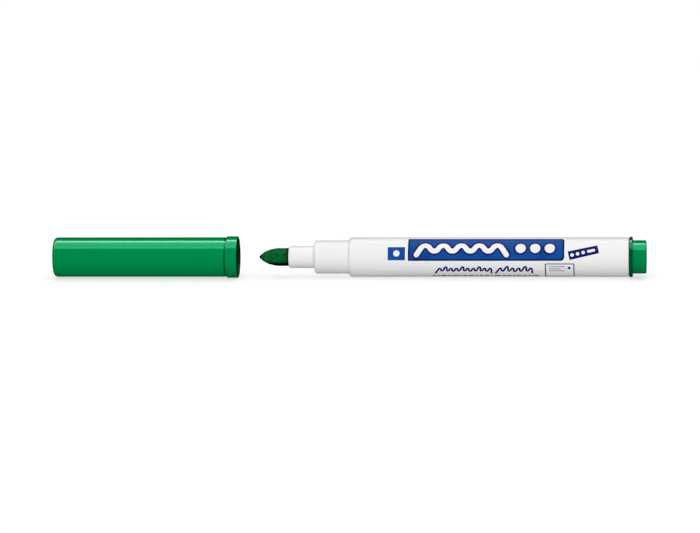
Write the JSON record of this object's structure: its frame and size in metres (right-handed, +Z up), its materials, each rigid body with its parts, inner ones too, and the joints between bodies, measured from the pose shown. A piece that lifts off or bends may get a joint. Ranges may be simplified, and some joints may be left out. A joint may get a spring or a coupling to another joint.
{
  "type": "whiteboard marker",
  "caption": "Slim round whiteboard marker with a bullet nib, its cap pulled off in line with the nib. The cap slides on over the nib and snaps onto the neck.",
  "frame": {"origin": "on the surface that the marker lies on, under the middle of its length with the cap off", "axes": "+X along the marker from the cap to the end plug, +Z up, +Y to the left when looking from the cap's closed end towards the plug"},
  "size_m": [0.1684, 0.0118, 0.0118],
  "materials": {
    "green_plastic": "glossy injection-moulded green polypropylene",
    "white_plastic": "satin-gloss injection-moulded white polypropylene",
    "natural_plastic": "soft milky uncoloured polyethylene",
    "green_felt": "dense bonded felt soaked with green ink",
    "inked_fibre": "bundled polyester fibre soaked with green ink",
    "wrap_film": "thin clear film",
    "blue_print": "one-colour blue ink printed on the barrel"
  },
  "bodies": {
    "marker": {"barrel": "white_plastic", "nib_holder": "white_plastic", "nib": "green_felt", "reservoir_core": "inked_fibre", "reservoir_wrap": "wrap_film", "end_plug": "green_plastic"},
    "cap": {"cap_shell": "green_plastic", "cap_seal": "natural_plastic"}
  },
  "joints": [
    {"name": "cap_slide", "type": "slide", "parent": "marker", "child": "cap", "axis": [1, 0, 0], "range_m": [0, 0.03135]}
  ]
}
